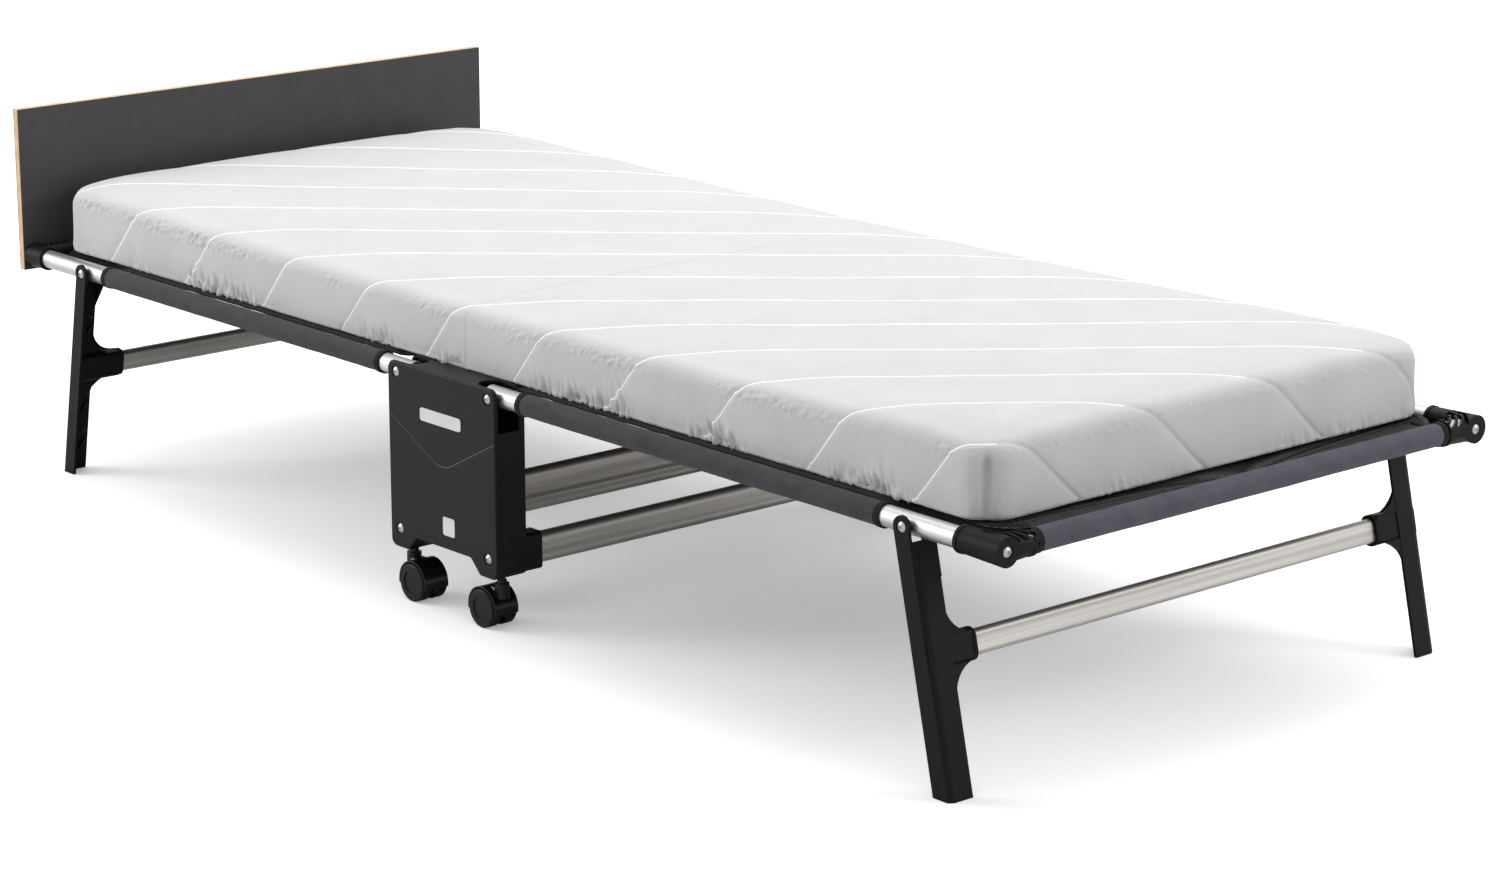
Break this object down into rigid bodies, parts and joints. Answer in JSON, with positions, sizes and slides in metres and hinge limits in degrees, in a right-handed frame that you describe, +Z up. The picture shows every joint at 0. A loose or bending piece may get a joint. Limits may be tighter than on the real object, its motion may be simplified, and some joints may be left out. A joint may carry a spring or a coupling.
{
  "type": "rollaway bed",
  "caption": "Folding rollaway bed with a mattress, fabric mesh deck, tubular side rails, splayed folding legs, a headboard and a central unit on castors.",
  "frame": {"origin": "on the floor, in the middle of the bed's footprint", "axes": "+X from the head to the foot, +Z up, -Y the right-hand side when lying on the back with the head at -X"},
  "size_m": [1.9968, 0.8314, 0.5115],
  "materials": {
    "housing_plastic": "satin moulded",
    "aluminium_bar": "anodised, brushed",
    "aluminium_tube": "anodised, brushed",
    "moulded_plastic": "satin moulded",
    "plug_plastic": "moulded",
    "bolt_steel": "zinc plated",
    "nylon": "nylon",
    "collar_rubber": "matt",
    "badge_plate": "satin, blank",
    "label_film": "printed film, blank",
    "deck_mesh": "open woven mesh",
    "sleeve_fabric": "coarse plain weave",
    "end_sleeve_fabric": "heathered weave",
    "binding_fabric": "folded tape",
    "laminate": "fine textured laminate",
    "board_core": "raw board edge",
    "mattress_cover": "quilted knit",
    "castor_plastic": "moulded",
    "wheel_rubber": "satin tread"
  },
  "bodies": {
    "centre_unit": {"housing_cover_right": "housing_plastic", "housing_cover_left": "housing_plastic", "housing_back_right": "housing_plastic", "housing_back_left": "housing_plastic", "lower_bar_head": "aluminium_bar", "lower_bar_foot": "aluminium_bar", "upper_bar": "aluminium_bar", "bar_plugs": "plug_plastic", "lower_bar_bolts": "bolt_steel", "upper_bar_screws": "bolt_steel", "fold_pivot_bolts": "bolt_steel", "fold_pivot_nuts": "bolt_steel", "fold_pivot_spacers": "nylon", "blank_badges": "badge_plate", "blank_label": "label_film", "deck_centre": "deck_mesh", "mattress_centre": "mattress_cover"},
    "head_half": {"head_rails": "aluminium_tube", "head_rail_plugs": "plug_plastic", "head_end_tube": "aluminium_tube", "head_corner_connectors": "moulded_plastic", "head_leg_bolts": "bolt_steel", "head_leg_spacers": "nylon", "head_side_sleeves": "sleeve_fabric", "head_end_sleeve": "end_sleeve_fabric", "head_sleeve_bindings": "binding_fabric", "head_deck": "deck_mesh", "mattress_head": "mattress_cover", "headboard_bolts": "bolt_steel", "headboard_front_laminate": "laminate", "headboard_core": "board_core", "headboard_back_laminate": "laminate"},
    "foot_half": {"foot_rails": "aluminium_tube", "foot_rail_plugs": "plug_plastic", "foot_end_tube": "aluminium_tube", "foot_corner_connectors": "moulded_plastic", "foot_leg_bolts": "bolt_steel", "foot_leg_spacers": "nylon", "foot_side_sleeves": "sleeve_fabric", "foot_end_sleeve": "end_sleeve_fabric", "foot_sleeve_bindings": "binding_fabric", "foot_deck": "deck_mesh", "mattress_foot": "mattress_cover", "foot_corner_bolts": "bolt_steel"},
    "head_legs": {"head_leg_right": "moulded_plastic", "head_leg_left": "moulded_plastic", "head_leg_crossbar": "aluminium_bar", "head_leg_collars": "collar_rubber"},
    "foot_legs": {"foot_leg_right": "moulded_plastic", "foot_leg_left": "moulded_plastic", "foot_leg_crossbar": "aluminium_bar", "foot_leg_collars": "collar_rubber"},
    "castor_head_right_swivel": {"castor_head_right_hood": "castor_plastic"},
    "castor_head_right_wheels": {"castor_head_right_wheels": "wheel_rubber"},
    "castor_head_left_swivel": {"castor_head_left_hood": "castor_plastic"},
    "castor_head_left_wheels": {"castor_head_left_wheels": "wheel_rubber"},
    "castor_foot_right_swivel": {"castor_foot_right_hood": "castor_plastic"},
    "castor_foot_right_wheels": {"castor_foot_right_wheels": "wheel_rubber"},
    "castor_foot_left_swivel": {"castor_foot_left_hood": "castor_plastic"},
    "castor_foot_left_wheels": {"castor_foot_left_wheels": "wheel_rubber"}
  },
  "joints": [
    {"name": "head_fold", "type": "hinge", "parent": "centre_unit", "child": "head_half", "pos_m": [-0.08465, 0, 0.3], "axis": [0, 1, 0], "range_deg": [0, 88], "deforming": ["mattress_centre"]},
    {"name": "foot_fold", "type": "hinge", "parent": "centre_unit", "child": "foot_half", "pos_m": [0.10455, 0, 0.3], "axis": [0, -1, 0], "range_deg": [0, 88]},
    {"name": "head_legs_fold", "type": "hinge", "parent": "head_half", "child": "head_legs", "pos_m": [-0.83005, 0, 0.3], "axis": [0, -1, 0], "range_deg": [0, 90]},
    {"name": "foot_legs_fold", "type": "hinge", "parent": "foot_half", "child": "foot_legs", "pos_m": [0.84995, 0, 0.3], "axis": [0, 1, 0], "range_deg": [0, 90]},
    {"name": "castor_head_right_turn", "type": "hinge", "parent": "centre_unit", "child": "castor_head_right_swivel", "pos_m": [-0.08205, -0.3925, 0.06], "axis": [0, 0, 1], "continuous": true},
    {"name": "castor_head_right_roll", "type": "hinge", "parent": "castor_head_right_swivel", "child": "castor_head_right_wheels", "pos_m": [-0.06305, -0.3925, 0.025], "axis": [0, 1, 0], "continuous": true},
    {"name": "castor_head_left_turn", "type": "hinge", "parent": "centre_unit", "child": "castor_head_left_swivel", "pos_m": [-0.08205, 0.3925, 0.06], "axis": [0, 0, 1], "continuous": true},
    {"name": "castor_head_left_roll", "type": "hinge", "parent": "castor_head_left_swivel", "child": "castor_head_left_wheels", "pos_m": [-0.06305, 0.3925, 0.025], "axis": [0, 1, 0], "continuous": true},
    {"name": "castor_foot_right_turn", "type": "hinge", "parent": "centre_unit", "child": "castor_foot_right_swivel", "pos_m": [0.10195, -0.3925, 0.06], "axis": [0, 0, 1], "continuous": true},
    {"name": "castor_foot_right_roll", "type": "hinge", "parent": "castor_foot_right_swivel", "child": "castor_foot_right_wheels", "pos_m": [0.08295, -0.3925, 0.025], "axis": [0, 1, 0], "continuous": true},
    {"name": "castor_foot_left_turn", "type": "hinge", "parent": "centre_unit", "child": "castor_foot_left_swivel", "pos_m": [0.10195, 0.3925, 0.06], "axis": [0, 0, 1], "continuous": true},
    {"name": "castor_foot_left_roll", "type": "hinge", "parent": "castor_foot_left_swivel", "child": "castor_foot_left_wheels", "pos_m": [0.08295, 0.3925, 0.025], "axis": [0, 1, 0], "continuous": true}
  ]
}
